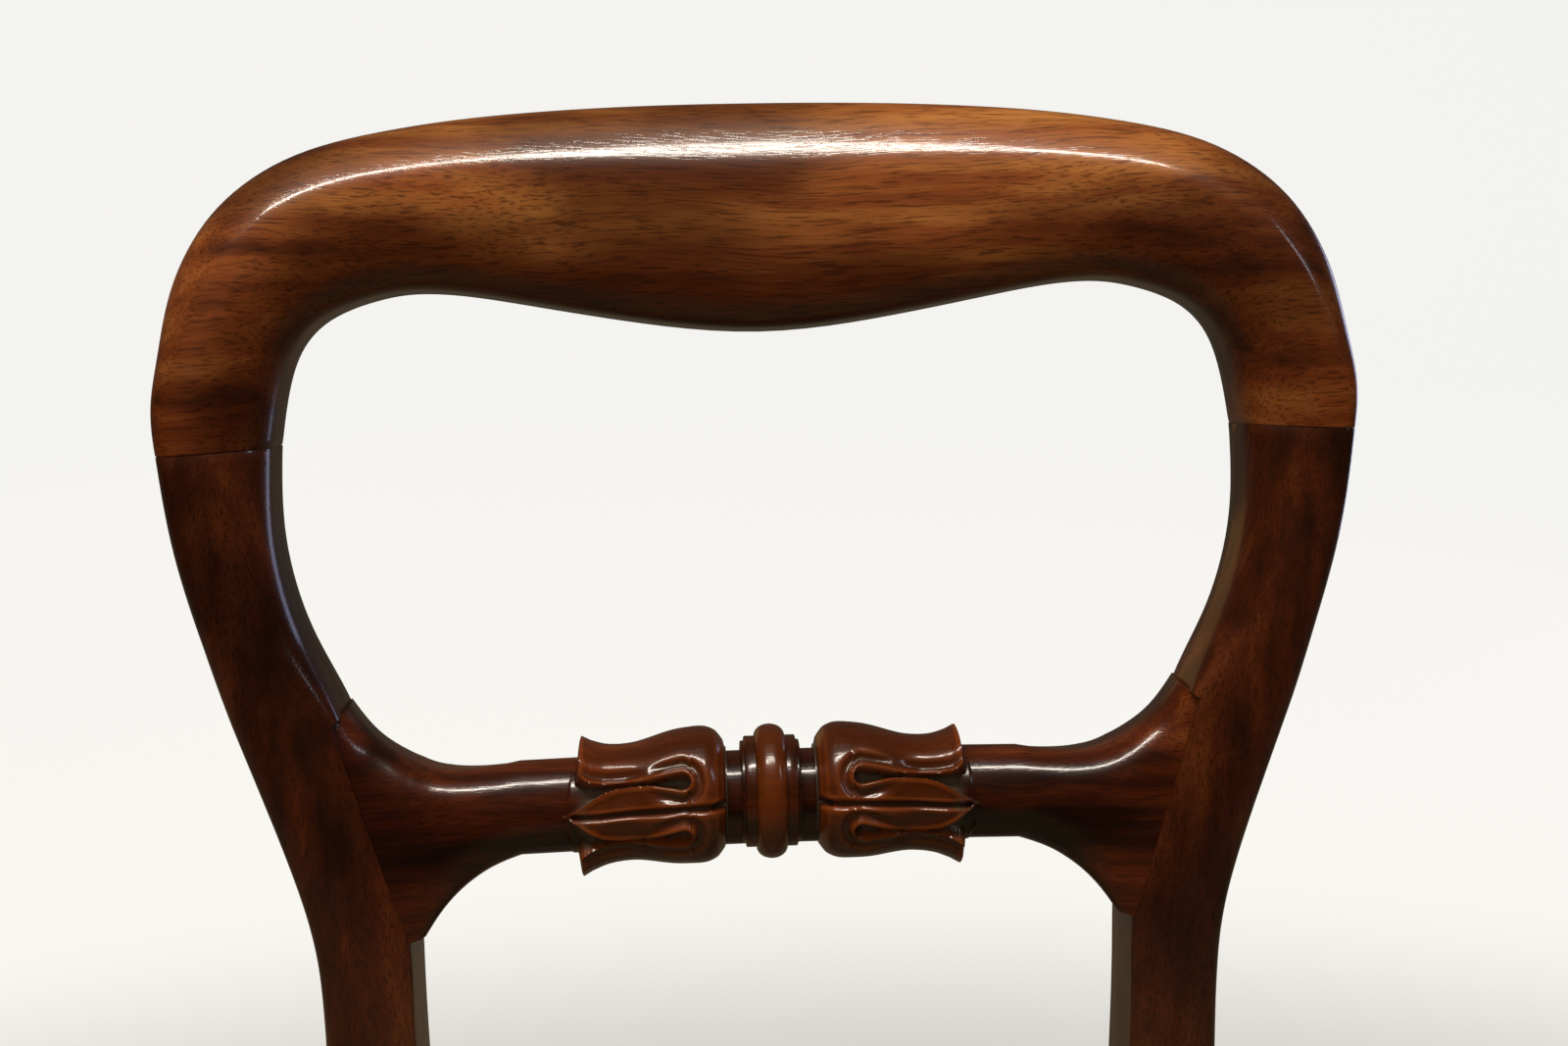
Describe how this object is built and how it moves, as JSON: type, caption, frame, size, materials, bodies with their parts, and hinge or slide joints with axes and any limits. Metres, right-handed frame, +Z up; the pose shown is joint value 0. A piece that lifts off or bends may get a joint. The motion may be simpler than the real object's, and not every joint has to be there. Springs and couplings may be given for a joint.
{
  "type": "dining chair",
  "caption": "Balloon back dining chair in polished wood with a carved cross rail, turned front legs and a loose drop-in seat.",
  "frame": {"origin": "middle of the chair's overall box, on the floor", "axes": "+Z up; -Y the way the chair faces, so +Y is its back; +X to the right for someone looking at its front"},
  "size_m": [0.469, 0.5202, 0.8797],
  "materials": {
    "polished_mahogany": "french polished to a soft gloss",
    "plain_beech": "bare, planed",
    "steel": "dull, a little oxidised",
    "seat_fabric": "plain woven wool",
    "jute": "coarse plain weave",
    "hair_and_wadding": "soft matte wadding over curled hair",
    "black_cloth": "fine plain weave"
  },
  "bodies": {
    "chair_frame": {"crest_rail": "polished_mahogany", "crest_dowels": "plain_beech", "cross_rail": "polished_mahogany", "cross_rail_dowels": "plain_beech", "rear_leg_right": "polished_mahogany", "rear_leg_left": "polished_mahogany", "front_leg_right": "polished_mahogany", "front_leg_left": "polished_mahogany", "front_seat_rail": "polished_mahogany", "back_seat_rail": "polished_mahogany", "side_seat_rail_right": "polished_mahogany", "side_seat_rail_left": "polished_mahogany", "corner_block_front_right": "plain_beech", "corner_block_front_left": "plain_beech", "corner_block_rear_right": "plain_beech", "corner_block_rear_left": "plain_beech", "corner_block_screws": "steel"},
    "drop_in_seat": {"seat_frame_front": "plain_beech", "seat_frame_back": "plain_beech", "seat_frame_left": "plain_beech", "seat_frame_right": "plain_beech", "seat_webbing": "jute", "seat_hessian": "jute", "seat_stuffing": "hair_and_wadding", "seat_cover": "seat_fabric", "dust_cover": "black_cloth"}
  },
  "joints": [
    {"name": "seat_lift", "type": "slide", "parent": "chair_frame", "child": "drop_in_seat", "axis": [0, 0, 1], "range_m": [0, 0.06]}
  ]
}
